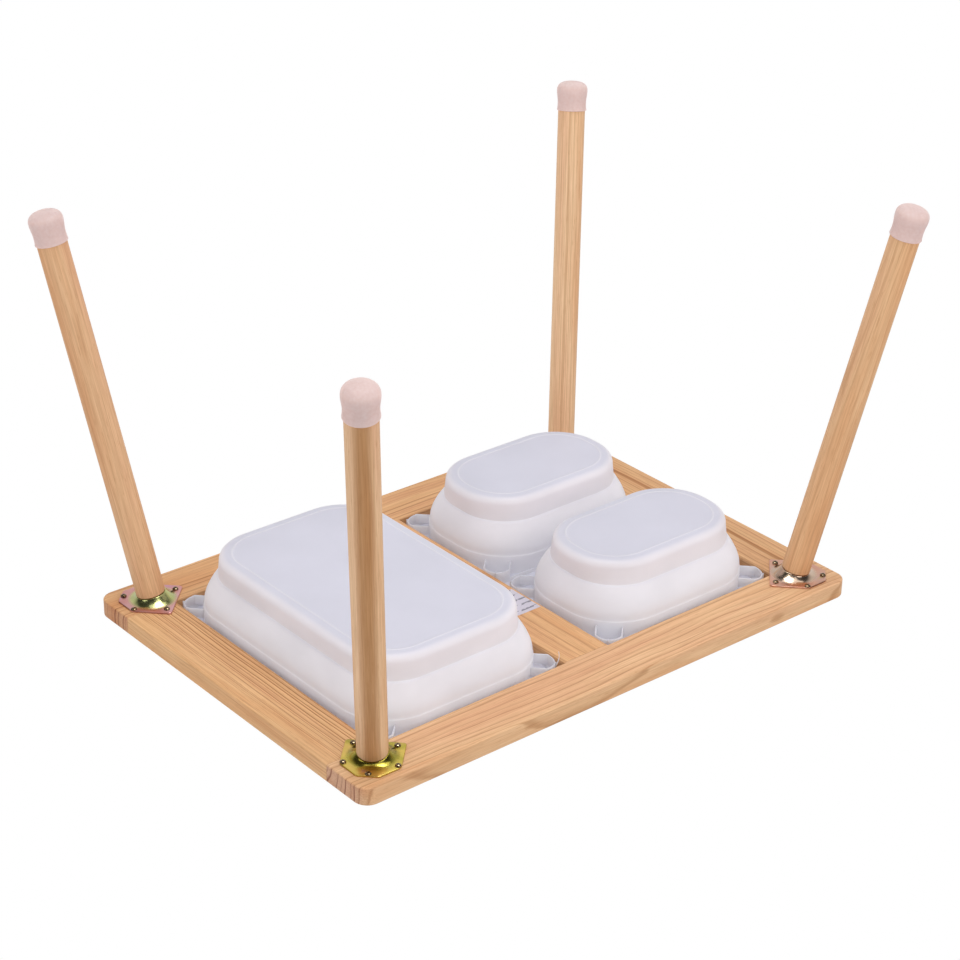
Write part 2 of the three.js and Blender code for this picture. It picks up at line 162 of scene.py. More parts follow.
def rounded(cx, cy, z, a, b, r, steps=16):
    """The outline of a rectangle with round corners, half sizes a and b."""
    loop = []
    for corner in range(4):
        sx = 1 if corner in (0, 3) else -1
        sy = 1 if corner < 2 else -1
        for i in range(steps + 1):
            t = (corner + i / steps) * math.pi / 2
            loop.append((cx + sx * (a - r) + r * math.cos(t), cy + sy * (b - r) + r * math.sin(t), z))
    return loop


def box(lo, hi):
    """Vertices and faces of an upright box between two corners."""
    (x0, y0, z0), (x1, y1, z1) = lo, hi
    verts = [(x, y, z) for z in (z0, z1) for x, y in ((x0, y0), (x1, y0), (x1, y1), (x0, y1))]
    faces = [(3, 2, 1, 0), (4, 5, 6, 7), (0, 1, 5, 4), (1, 2, 6, 5), (2, 3, 7, 6), (3, 0, 4, 7)]
    return verts, faces


def carve(mesh, other, operation):
    """The mesh after a boolean with another mesh."""
    made = []
    for data in (mesh, other):
        obj = bpy.data.objects.new("scratch", data)
        bpy.context.scene.collection.objects.link(obj)
        made.append(obj)
    cut = made[0].modifiers.new("cut", "BOOLEAN")
    cut.operation = operation
    cut.object = made[1]
    cut.solver = "EXACT"
    bpy.context.view_layer.update()
    graph = bpy.context.evaluated_depsgraph_get()
    result = bpy.data.meshes.new_from_object(made[0].evaluated_get(graph))
    for obj in made:
        bpy.data.objects.remove(obj)
    return result


def place(name, mesh, material, body, nodes, at=None, weighted=False):
    """Puts a mesh in the scene as the piece that stands for those CAD nodes."""
    obj = bpy.data.objects.new(name, mesh)
    bpy.context.scene.collection.objects.link(obj)
    if at is not None:
        obj.matrix_world = at
    if not mesh.materials:
        mesh.materials.append(material)
    if weighted:
        mod = obj.modifiers.new("normals", "WEIGHTED_NORMAL")
        mod.keep_sharp = True
    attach(obj, body)
    if nodes:
        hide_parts(*nodes)
    return obj


# ---- material helpers ----
def srgb(r, g, b):
    """Linear colour from 0-255 display values."""

    def channel(c):
        c /= 255
        return c / 12.92 if c <= 0.04045 else ((c + 0.055) / 1.055) ** 2.4

    return (channel(r), channel(g), channel(b), 1)


def grey(v):
    return (v, v, v, 1)


class Tree:
    """Shorthand for the node tree of a material, or of another owner that has one."""

    def __init__(self, name, owner=None):
        self.owner = owner or bpy.data.materials.new(name)
        self.owner.use_nodes = True
        self.tree = self.owner.node_tree
        self.tree.nodes.clear()

    def add(self, kind, values=None, **settings):
        """A node whose inputs take the values: a socket is linked, anything else is set."""
        node = self.tree.nodes.new(kind)
        for key, value in settings.items():
            setattr(node, key, value)
        for key, value in (values or {}).items():
            if isinstance(value, bpy.types.NodeSocket):
                self.tree.links.new(value, node.inputs[key])
            else:
                node.inputs[key].default_value = value
        return node

    def math(self, operation, a, b=0.0, c=0.0, clamp=False):
        node = self.add("ShaderNodeMath", {0: a, 1: b, 2: c}, operation=operation, use_clamp=clamp)
        return node.outputs[0]

    def mix(self, factor, a, b, blend="MIX"):
        """A mix of two colours."""
        node = self.add("ShaderNodeMix", {0: factor, 6: a, 7: b}, data_type="RGBA", blend_type=blend)
        return node.outputs[2]

    def blend(self, factor, a, b):
        """A mix of two shaders."""
        return self.add("ShaderNodeMixShader", {0: factor, 1: a, 2: b}).outputs[0]

    def ramp(self, factor, stops):
        """A colour ramp with (position, colour) stops."""
        node = self.add("ShaderNodeValToRGB", {0: factor})
        elements = node.color_ramp.elements
        while len(elements) < len(stops):
            elements.new(0.5)
        for element, (position, color) in zip(elements, stops):
            element.position = position
            element.color = color
        return node.outputs[0]

    def noise(self, vector, scale=1.0, detail=2.0, roughness=0.5):
        values = {"Vector": vector, "Scale": scale, "Detail": detail, "Roughness": roughness}
        return self.add("ShaderNodeTexNoise", values).outputs[0]

    def stretched(self, vector, scale, shift=(0, 0, 0)):
        """The vector scaled by axis and shifted, for a noise that runs lengthwise or has its own place."""
        values = {"Vector": vector, "Location": shift, "Scale": scale}
        return self.add("ShaderNodeMapping", values).outputs[0]

    def finish(self, shader, output="ShaderNodeOutputMaterial"):
        self.add(output, {0: shader})
        return self.owner


# ---- pine ----
def pine(
    name, axis, pith, spacing, seed, tint=(1, 1, 1), tilt=(0, 0), warp=0.02, lines=1.0, painted_shade_band=None,
    crowd=None, even=0.15
):
    """Pine with growth rings about a pith that runs along axis, spacing apart in metres.

    The rings show as end grain on end faces and as long grain on the others.
    pith: where it lies across the board, in metres, along the two next axes.
    tilt: how far it wanders off along those axes, per metre.
    warp: how wavy the rings are, in metres.
    lines: how strong they are.
    band: a darker, deeper orange lengthwise streak on the side of a leg that faces the main view, painted
    shade, as the angle it faces, how wide it is and how strong.
    crowd: draws the lines to one side, as the direction along the second cross axis and where the middle is.
    even: how dark the faintest line is, against the darkest.
    """
    t = Tree(name)
    coords = t.add("ShaderNodeTexCoord")
    parts = t.add("ShaderNodeSeparateXYZ", {0: coords.outputs["Object"]})
    along = parts.outputs[axis]
    first, second = parts.outputs[(axis + 1) % 3], parts.outputs[(axis + 2) % 3]
    u = t.math("MULTIPLY_ADD", along, -tilt[0], t.math("SUBTRACT", first, pith[0]))
    w = t.math("MULTIPLY_ADD", along, -tilt[1], t.math("SUBTRACT", second, pith[1]))

    def grain_space(long_scale, cross_scale, shift):
        scale = [cross_scale] * 3
        scale[axis] = long_scale
        return t.stretched(coords.outputs["Object"], scale, (seed + shift, seed * 1.7, shift * 2.3))

    broad = t.noise(grain_space(3.2, 9, 0), detail=1.5)
    medium = t.noise(grain_space(9, 42, 4), detail=2)
    radius = t.math("SQRT", t.math("ADD", t.math("MULTIPLY", u, u), t.math("MULTIPLY", w, w)))
    radius = t.math("MULTIPLY_ADD", t.math("SUBTRACT", broad, 0.5), warp, radius)
    radius = t.math("MULTIPLY_ADD", t.math("SUBTRACT", medium, 0.5), warp * 0.16, radius)
    phase = t.math("DIVIDE", radius, spacing)
    uneven = t.add("ShaderNodeTexNoise", {"W": phase, "Scale": 0.45, "Detail": 1.0}, noise_dimensions="1D")
    phase = t.math("MULTIPLY_ADD", uneven.outputs[0], 2.2, phase)
    ring = t.math("FRACT", phase)
    number = t.math("FLOOR", t.math("ADD", phase, seed * 10))
    strength = t.add("ShaderNodeTexWhiteNoise", {"W": number}, noise_dimensions="1D").outputs[0]
    # Each ring darkens slowly through its early wood, then fast to its late wood, and ends at once.
    levels = ((0.0, 0.0), (0.45, 0.03), (0.74, 0.24), (0.88, 1), (0.94, 0.9), (1, 0))
    late = t.ramp(ring, [(position, grey(level)) for position, level in levels])
    late = t.math("MULTIPLY", late, t.math("MULTIPLY_ADD", strength, 1 - even, even))
    if crowd:
        way, middle = crowd
        half_band = 0.02
        side = t.math("MULTIPLY", t.math("SUBTRACT", second, middle), way / half_band)
        side = t.math("MULTIPLY_ADD", side, 0.5, 0.5, clamp=True)
        late = t.math("MULTIPLY", late, t.math("MULTIPLY_ADD", side, 1.15, 0.3))
    # End grain: more contrast, darker and redder.
    normal = t.add("ShaderNodeSeparateXYZ", {0: coords.outputs["Normal"]}).outputs[axis]
    end = t.math("POWER", t.math("ABSOLUTE", normal), 3.0)
    late_seen = t.math("MULTIPLY", late, t.math("MULTIPLY_ADD", end, 0.5, 0.85 * lines), clamp=True)
    pale = t.mix(end, srgb(233, 188, 142), srgb(214, 167, 132))
    dark = t.mix(end, srgb(170, 110, 58), srgb(138, 78, 50))
    color = t.mix(late_seen, pale, dark)
    # Slow changes between pale, pink and honey wood.
    shade = t.noise(grain_space(2.0, 26, 9), detail=3)
    honey = t.ramp(shade, [(0.3, srgb(240, 212, 190)), (0.5, grey(1)), (0.7, srgb(244, 226, 226))])
    color = t.mix(0.75, color, honey, "MULTIPLY")
    # Painted shade: the side of the leg that faces the main view is darkened to a deeper orange, so that its
    # flanks read lighter.
    if painted_shade_band:
        angle, half_width, depth = painted_shade_band
        facing = t.math("MULTIPLY", first, math.cos(angle) / (LEG_R * MM))
        facing = t.math("MULTIPLY_ADD", second, math.sin(angle) / (LEG_R * MM), facing)
        wander = t.math("SUBTRACT", t.noise(grain_space(2.6, 20, 2), detail=2), 0.5)
        facing = t.math("MULTIPLY_ADD", wander, 0.25, facing)
        near = t.ramp(facing, [(0.0, grey(0)), (math.cos(half_width), grey(0)), (1.0, grey(1))])
        color = t.mix(t.math("MULTIPLY", near, depth), color, srgb(176, 118, 62))
    # Fibres, short flecks and a fine grain.
    fibre = t.noise(grain_space(12, 620, 13), detail=3, roughness=0.7)
    color = t.mix(0.62, color, t.ramp(fibre, [(0.3, srgb(206, 190, 172)), (0.66, grey(1.0))]), "MULTIPLY")
    fleck = t.ramp(t.noise(grain_space(60, 900, 21), detail=1), [(0.64, grey(0)), (0.74, grey(1))])
    color = t.mix(t.math("MULTIPLY", fleck, 0.34), color, dark)
    color = t.mix(1.0, color, (*tint, 1), "MULTIPLY")
    relief = t.math("MULTIPLY_ADD", late, 0.5, t.math("MULTIPLY", fibre, 0.6))
    bump = t.add("ShaderNodeBump", {"Strength": 0.12, "Distance": 0.0006, "Height": relief})
    rough = t.math("MULTIPLY_ADD", fibre, 0.16, 0.46)
    shader = t.add(
        "ShaderNodeBsdfPrincipled",
        {"Base Color": color, "Roughness": rough, "Normal": bump.outputs[0], "Specular IOR Level": 0.22},
    )
    return t.finish(shader.outputs[0])


def hardwood():
    """Beech, for the dowels."""
    t = Tree("beech_dowel")
    coords = t.add("ShaderNodeTexCoord")
    lines = t.noise(t.stretched(coords.outputs["Object"], (900, 12, 900)), detail=3)
    flecks = t.noise(t.stretched(coords.outputs["Object"], (500, 60, 500)), detail=1)
    color = t.ramp(lines, [(0.3, srgb(192, 152, 112)), (0.7, srgb(218, 184, 146))])
    color = t.mix(t.ramp(flecks, [(0.6, grey(0)), (0.72, grey(0.5))]), color, srgb(168, 124, 84))
    shader = t.add("ShaderNodeBsdfPrincipled", {"Base Color": color, "Roughness": 0.6})
    return t.finish(shader.outputs[0])


# ---- metal ----
def yellow_zinc(name, pink, seat, seed, centre):
    """Yellow passivated zinc: gold that drifts to pink and violet from place to place.

    pink: how far the whole plate has drifted.
    seat: the colour of the pressed seat round the leg, which lies about centre.
    """
    t = Tree(name)
    coords = t.add("ShaderNodeTexCoord")
    drift = t.noise(t.stretched(coords.outputs["Object"], (34, 34, 34), (seed, seed * 2, 0)), detail=2.5)
    fine = t.noise(t.stretched(coords.outputs["Object"], (420, 420, 420), (seed, 0, 5)), detail=3)
    olive, gold, amber = srgb(190, 178, 66), srgb(226, 200, 96), srgb(232, 196, 110)
    straw, rose = srgb(214, 190, 100), srgb(218, 168, 174)
    salmon, violet = srgb(212, 148, 146), srgb(200, 146, 176)
    warm = t.ramp(drift, [(0.34, olive), (0.5, gold), (0.62, amber), (0.74, rose)])
    cool = t.ramp(drift, [(0.26, straw), (0.36, rose), (0.6, salmon), (0.74, violet)])
    color = t.mix(pink, warm, cool)
    shift = t.add("ShaderNodeVectorMath", {0: coords.outputs["Object"], 1: centre}, operation="SUBTRACT")
    away = t.add("ShaderNodeVectorMath", {0: shift.outputs[0]}, operation="LENGTH").outputs["Value"]
    reach = 0.05
    ring = t.ramp(t.math("DIVIDE", away, reach), [(0.56, grey(1)), (0.68, grey(0))])
    darker = [0.86 * level for level in seat]
    pressed = t.ramp(drift, [(0.34, srgb(*darker)), (0.66, srgb(*seat))])
    color = t.mix(t.math("MULTIPLY", ring, 0.9), color, pressed)
    rough = t.math("MULTIPLY_ADD", fine, 0.08, t.math("MULTIPLY_ADD", ring, -0.15, 0.3))
    bump = t.add("ShaderNodeBump", {"Strength": 0.04, "Distance": 0.0002, "Height": fine})
    shader = t.add(
        "ShaderNodeBsdfPrincipled",
        {"Base Color": color, "Metallic": 1.0, "Roughness": rough, "Normal": bump.outputs[0]},
    )
    return t.finish(shader.outputs[0])


def bright_zinc():
    """The screws' and hanger bolts' plating."""
    t = Tree("bright_zinc")
    coords = t.add("ShaderNodeTexCoord")
    fine = t.noise(t.stretched(coords.outputs["Object"], (900, 900, 900)), detail=2)
    color = t.ramp(fine, [(0.35, srgb(122, 102, 76)), (0.65, srgb(164, 146, 120))])
    rough = t.math("MULTIPLY_ADD", fine, 0.08, 0.05)
    shader = t.add("ShaderNodeBsdfPrincipled", {"Base Color": color, "Metallic": 1.0, "Roughness": rough})
    return t.finish(shader.outputs[0])


# ---- plastics ----
def milky_plastic(name, painted_highlight_whiten):
    """Natural polypropylene: milky, letting some light through, with faint clouds.

    Faces that point up or down, the flat bottom most of all, take a darker, bluer colour than the walls, as
    painted shade. glow whitens the whole colour; the bins give that whiter copy to the bottom's bead and the
    crease's slim lip, as a painted highlight.
    """
    t = Tree(name)
    coords = t.add("ShaderNodeTexCoord")
    cloud = t.noise(t.stretched(coords.outputs["Object"], (16, 16, 30)), detail=3)
    grain = t.noise(t.stretched(coords.outputs["Object"], (700, 700, 700)), detail=2)
    # Painted shade: the more upright a face's normal, the more it takes the darker, bluer bottom colour.
    height = t.add("ShaderNodeSeparateXYZ", {0: coords.outputs["Normal"]}).outputs[2]
    flat = t.math("POWER", t.math("ABSOLUTE", height), 5.0)
    base = t.ramp(cloud, [(0.3, srgb(243, 239, 241)), (0.7, srgb(248, 244, 246))])
    wide = t.ramp(cloud, [(0.3, srgb(241, 240, 243)), (0.7, srgb(246, 245, 248))])
    bottom = t.ramp(cloud, [(0.3, srgb(225, 224, 232)), (0.7, srgb(228, 227, 235))])
    # Painted light and shade: from the base's colour, a little lighter and warmer, to the wider part's, over
    # the stretch about the crease, to even out how light falls on the two.
    place_z = t.add("ShaderNodeSeparateXYZ", {0: coords.outputs["Object"]}).outputs[2]
    start, stretch = 0.475, 0.05
    rise = t.math("DIVIDE", t.math("SUBTRACT", place_z, start), stretch, clamp=True)
    color = t.mix(flat, t.mix(rise, base, wide), bottom)
    # Painted highlight: whitens the colour by this much, for the copy on the bead and the crease's lip.
    color = t.mix(painted_highlight_whiten, color, srgb(255, 254, 255))
    rough = t.math("MULTIPLY_ADD", grain, 0.16, 0.36)
    bump = t.add("ShaderNodeBump", {"Strength": 0.04, "Distance": 0.0002, "Height": grain})
    body = t.add(
        "ShaderNodeBsdfPrincipled",
        {"Base Color": color, "Roughness": rough, "Normal": bump.outputs[0], "Specular IOR Level": 0.3},
    )
    through = t.add("ShaderNodeBsdfTranslucent", {"Color": color})
    return t.finish(t.blend(0.42, body.outputs[0], through.outputs[0]))


def silicone():
    """Frosted silicone, a little see-through."""
    t = Tree("frosted_silicone")
    coords = t.add("ShaderNodeTexCoord")
    speck = t.noise(t.stretched(coords.outputs["Object"], (260, 260, 260)), detail=3)
    color = t.ramp(speck, [(0.3, srgb(246, 230, 226)), (0.7, srgb(252, 240, 238))])
    rough = t.math("MULTIPLY_ADD", speck, 0.2, 0.4)
    skin = t.add(
        "ShaderNodeBsdfPrincipled",
        {"Base Color": color, "Roughness": rough, "IOR": 1.41, "Specular IOR Level": 0.3},
    )
    clear = t.add("ShaderNodeBsdfTransparent", {"Color": srgb(250, 236, 232)})
    through = t.add("ShaderNodeBsdfTranslucent", {"Color": color})
    soft = t.blend(0.45, skin.outputs[0], through.outputs[0])
    return t.finish(t.blend(0.22, soft, clear.outputs[0]))


def label_paper():
    """Pale paper with plain printed bars and no lettering."""
    t = Tree("label_paper")
    coords = t.add("ShaderNodeTexCoord")
    fibre = t.noise(t.stretched(coords.outputs["Object"], (1500, 1500, 1500)), detail=2)
    color = t.ramp(fibre, [(0.3, srgb(196, 190, 202)), (0.7, srgb(206, 200, 212))])
    parts = t.add("ShaderNodeSeparateXYZ", {0: coords.outputs["Object"]})
    rows_per_metre = 80
    rows = t.math("FRACT", t.math("MULTIPLY", parts.outputs[1], rows_per_metre))
    rows = t.math("GREATER_THAN", rows, 0.72)
    breaks = t.noise(t.stretched(coords.outputs["Object"], (140, 130, 0)), detail=0)
    bars = t.math("MULTIPLY", rows, t.math("GREATER_THAN", breaks, 0.46))
    color = t.mix(t.math("MULTIPLY", bars, 0.75), color, srgb(92, 90, 104))
    shader = t.add("ShaderNodeBsdfPrincipled", {"Base Color": color, "Roughness": 0.5})
    return t.finish(shader.outputs[0])


# ---- the wooden frame ----
def eased_edge():
    """(z, inset) pairs of the frame's rounded lower edge."""
    turns = [i / EASE_STEPS * math.pi / 2 for i in range(EASE_STEPS + 1)]
    return [(UNDER + EASE * (1 - math.cos(t)), EASE * (1 - math.sin(t))) for t in turns]


def frame_blank():
    """The frame's outside, with round corners and eased edges, before it is cut into rails."""
    lower = eased_edge()
    upper = [(HEIGHT + UNDER - z, inset) for z, inset in reversed(lower)]
    loops = []
    for z, inset in lower + upper:
        loops.append(rounded(0, 0, z, LENGTH / 2 - inset, WIDTH / 2 - inset, CORNER_R - inset, 20))
    return mesh_of("blank", *loft(loops))


def opening_cutter(side):
    """What is cut away for one opening: eased below, with the bins' ledge above."""

    def rect(z, grow):
        a, b, x = OPEN_X / 2 + grow, OPEN_Y / 2 + grow, side * OPEN_CENTRE
        return [(x + a, -b, z), (x + a, b, z), (x - a, b, z), (x - a, -b, z)]

    loops = [rect(UNDER - 1, EASE + 1)]
    for z, inset in eased_edge():
        loops.append(rect(z, inset))
    ledge = HEIGHT - LEDGE_D
    loops += [rect(ledge, 0), rect(ledge, LEDGE_W), rect(HEIGHT + 1, LEDGE_W)]
    return mesh_of("opening", *loft(loops))


def build_frame():
    """The five rails, each cut out of the whole frame, so that its outer edges are eased and its joints
    are not."""
    half_l, half_w, inner = LENGTH / 2, WIDTH / 2, OPEN_Y / 2
    end = OPEN_X + RAIL / 2
    rails = {
        "long_rail_front": ((-half_l - 1, -half_w - 1), (half_l + 1, -inner)),
        "long_rail_back": ((-half_l - 1, inner), (half_l + 1, half_w + 1)),
        "end_rail_left": ((-half_l - 1, GAP - inner), (-end + 1, inner - GAP)),
        "crossbar": ((-RAIL / 2 - 1, GAP - inner), (RAIL / 2 + 1, inner - GAP)),
        "end_rail_right": ((end - 1, GAP - inner), (half_l + 1, inner - GAP)),
    }
    woods = {
        "long_rail_front": pine(
            "pine_long_front", 0, (-0.20, 0.556), 0.0085, 3.1, tint=(0.95, 0.91, 0.84), tilt=(0.01, 0.0)
        ),
        "long_rail_back": pine(
            "pine_long_back", 0, (0.20, 0.552), 0.0098, 7.7, tint=(1.0, 1.03, 1.08), tilt=(0.012, 0.02),
            warp=0.034, lines=0.85
        ),
        "end_rail_left": pine(
            "pine_end_left", 1, (0.60, -0.30), 0.0038, 11.3, tint=(0.96, 0.95, 0.89), warp=0.012, lines=1.5,
            crowd=(1, -0.39), even=0.6
        ),
        "crossbar": pine(
            "pine_crossbar", 1, (0.52, 0.03), 0.0085, 17.9, tint=(0.97, 0.93, 0.87), tilt=(0.06, 0.05)
        ),
        "end_rail_right": pine(
            "pine_end_right", 1, (0.60, 0.29), 0.0060, 23.3, tint=(0.93, 0.91, 0.87), tilt=(0.02, 0.02)
        ),
    }
    for name, (lo, hi) in rails.items():
        block = mesh_of("block", *box((*lo, UNDER - 1), (*hi, HEIGHT + 1)))
        rail = carve(frame_blank(), block, "INTERSECT")
        for side in (-1, 1):
            rail = carve(rail, opening_cutter(side), "DIFFERENCE")
        rail.name = name + "_shape"
        smooth(rail, 32)
        rail.materials.clear()
        place(name + "_wood", rail, woods[name], "frame", [name], weighted=True)


# ---- legs, caps, plates, screws ----
def leg_axis(sx, sy):
    """The way a leg points, down and outwards."""
    return Vector((sx * LEAN[0], sy * LEAN[1], -1)).normalized()


def leg_place(sx, sy):
    """The leg's own frame: its origin on the frame's underside, +Z down the leg."""
    origin = Vector((sx * (LENGTH / 2 - LEG_INSET), sy * (WIDTH / 2 - LEG_INSET), UNDER)) * MM
    return Matrix.Translation(origin) @ leg_axis(sx, sy).to_track_quat("Z", "Y").to_matrix().to_4x4()


def corner_point(sx, sy, u, v):
    """Where a point lies that is u along a corner's diagonal and v across it."""
    return sx * (LENGTH / 2 - (u + v) / math.sqrt(2)), sy * (WIDTH / 2 - (u - v) / math.sqrt(2))


def cap_rim():
    """How far down the leg a cap starts, so that its slanted dome just touches the floor."""
    dome = CAP_LENGTH - CAP_WIDE_AT
    slope = math.hypot(*LEAN) / STRETCH
    dual = CAP_SQUARE / (CAP_SQUARE - 1)
    drop = ((dome / STRETCH) ** dual + (CAP_WIDE_R * slope) ** dual) ** (1 / dual)
    return (UNDER - drop) * STRETCH - CAP_WIDE_AT


def build_leg(corner, sx, sy, wood):
    """A round leg with softened ends, from the plate's seat into its cap."""
    start = SEAT_H * STRETCH + GAP
    end = cap_rim() + LEG_IN_CAP
    soft = 1.6
    profile = [(0, start)]
    for i in range(7):
        t = i / 6 * math.pi / 2
        profile.append((LEG_R - soft * (1 - math.sin(t)), start + soft * (1 - math.cos(t))))
    profile += [(LEG_R, start + (end - start) * k / 24) for k in range(1, 24)]
    for i in range(7):
        t = i / 6 * math.pi / 2
        profile.append((LEG_R - soft * (1 - math.cos(t)), end - soft * (1 - math.sin(t))))
    profile.append((0, end))
    mesh = mesh_of("leg_shape", *turned(profile, 72))
    place("leg_" + corner + "_wood", mesh, wood, "frame", ["leg_" + corner], leg_place(sx, sy))


def build_cap(corner, sx, sy, material):
    """A hollow cap: its bore, the lip, the slim neck, the widest part and the dome."""
    rim = cap_rim()
    bore, end = LEG_R + 0.2, rim + LEG_IN_CAP
    lip_end, lip_r = 2, CAP_LIP_R - 0.3
    dome = CAP_LENGTH - CAP_WIDE_AT
    profile = [(0, end + 0.3), (LEG_R - 1.6, end + 0.3), (bore, end - 1.6)]
    profile += [(bore, rim + 0.5), (bore + 0.5, rim), (CAP_LIP_R - 0.4, rim)]
    profile += [(CAP_LIP_R, rim + 0.5), (CAP_LIP_R, rim + 1.4), (lip_r, rim + lip_end)]
    for i in range(1, 13):
        k = i / 12
        r = lip_r + (CAP_NECK_R - lip_r) * math.sin(k * math.pi / 2)
        profile.append((r, rim + lip_end + (CAP_NECK_AT - lip_end) * k))
    for i in range(1, 13):
        k = i / 12
        r = CAP_NECK_R + (CAP_WIDE_R - CAP_NECK_R) * (1 - math.cos(k * math.pi)) / 2
        profile.append((r, rim + CAP_NECK_AT + (CAP_WIDE_AT - CAP_NECK_AT) * k))
    for i in range(1, 19):
        t = i / 18 * math.pi / 2
        r = CAP_WIDE_R * max(0.0, math.cos(t)) ** (2 / CAP_SQUARE) if i < 18 else 0
        profile.append((r, rim + CAP_WIDE_AT + dome * math.sin(t) ** (2 / CAP_SQUARE)))
    mesh = mesh_of("cap_shape", *turned(profile, 72), degrees=50)
    at = leg_place(sx, sy)
    place("foot_cap_" + corner + "_soft", mesh, material, "frame", ["foot_cap_" + corner], at)


def plate_outline():
    """The plate's edge in (along, across) the corner's diagonal, with rounded corners."""
    half = [(31.5, 14, 6), (55, 37.5, 8), (108, 37.5, 4.5)]
    corners = [(u, -v, r) for u, v, r in half] + list(reversed(half))
    path = []
    for i, (u, v, r) in enumerate(corners):
        here = Vector((u, v))
        next_u, next_v, next_r = corners[(i + 1) % len(corners)]
        following = Vector((next_u, next_v))
        before = (Vector(corners[i - 1][:2]) - here).normalized()
        after = (following - here).normalized()
        angle = before.angle(after)
        reach = r / math.tan(angle / 2)
        start, stop = here + before * reach, here + after * reach
        centre = here + (before + after).normalized() * (r / math.sin(angle / 2))
        for k in range(9):
            p = start.lerp(stop, k / 8)
            path.append(centre + (p - centre).normalized() * r)
        ahead = (following - here).length - reach - next_r
        for k in range(1, 8):
            path.append(stop + after * ahead * k / 8)
    return path


def build_plate(corner, sx, sy, material):
    """A flat plate with a pressed seat, slanted square to the leg."""
    down = leg_axis(sx, sy)
    origin = leg_place(sx, sy).translation / MM
    outline = plate_outline()
    middle = Vector((LEG_INSET * math.sqrt(2), 0))

    def edge(inset, h):
        """The outline drawn in by inset, at h below the frame."""
        loop = []
        for p in outline:
            q = p + (middle - p).normalized() * inset
            loop.append(Vector((*corner_point(sx, sy, *q), UNDER - h)))
        return loop

    def seat(radius, rise):
        """A ring about the leg's axis: rise 0 lies in the plate's face, 1 in the slanted seat."""
        loop = []
        for p in outline:
            flat = Vector((*corner_point(sx, sy, *p), 0)) - Vector((*corner_point(sx, sy, *middle), 0))
            flat.normalize()
            level = origin + Vector((0, 0, -PLATE_T)) + down * 2 + flat * radius
            level.z = UNDER - PLATE_T
            slant = flat - down * flat.dot(down)
            slant.normalize()
            top = origin + down * (SEAT_H * STRETCH) + slant * radius
            loop.append(level.lerp(top, rise))
        return loop

    loops = [edge(0.4, 0), edge(0, 0.4), edge(0, PLATE_T - 0.7)]
    loops += [edge(0.25, PLATE_T - 0.2), edge(0.8, PLATE_T)]
    loops.append(seat(SEAT_BASE_R + 3.5, 0))
    # The flank rises in a hollow curve to a round shoulder, and the face of the seat closes it.
    flank_top = 0.95
    for i in range(1, 17):
        k = i / 16
        radius = SEAT_BASE_R + 3 + (SEAT_R - SEAT_BASE_R - 2.6) * k
        loops.append(seat(radius, (k ** 1.75) * flank_top))
    for i in range(1, 6):
        t = i / 5 * math.pi / 2
        rise = flank_top + (1 - flank_top) * math.sin(t)
        loops.append(seat(SEAT_R + 0.4 - 1.2 * (1 - math.cos(t)), rise))
    loops.append(seat(4.3, 1.0))
    mesh = mesh_of("plate_shape", *loft([[tuple(p) for p in loop] for loop in loops]), degrees=50)
    place("leg_plate_" + corner + "_metal", mesh, material, "frame", ["leg_plate_" + corner])


def screw_mesh(material):
    """A pan head with a cross recess and a short stretch of shank."""
    r, h, shank_r, shank = 4.1, 2.9, 1.9, 6
    profile = [(0, -shank), (shank_r, -shank), (shank_r, 0), (r - 0.15, 0), (r, 0.25)]
    for i in range(1, 11):
        t = i / 10 * math.pi / 2
        profile.append((r * math.cos(t) if i < 10 else 0, 0.45 + (h - 0.45) * math.sin(t) ** 0.85))
    head = mesh_of("screw", *turned(profile, 40))
    for turn in (0, math.pi / 2):
        wide, deep = 2.1, 1.5  # half length and depth of the recess
        loops = []
        for z, a, b in ((h - deep, wide * 0.45, 0.3), (h + 0.5, wide, 0.5)):
            loops.append([(a, -b, z), (a, b, z), (-a, b, z), (-a, -b, z)])
        slot = mesh_of("slot", *loft(loops))
        slot.transform(Matrix.Rotation(turn, 4, "Z"))
        head = carve(head, slot, "DIFFERENCE")
    smooth(head, 40)
    head.materials.clear()
    head.materials.append(material)
    return head


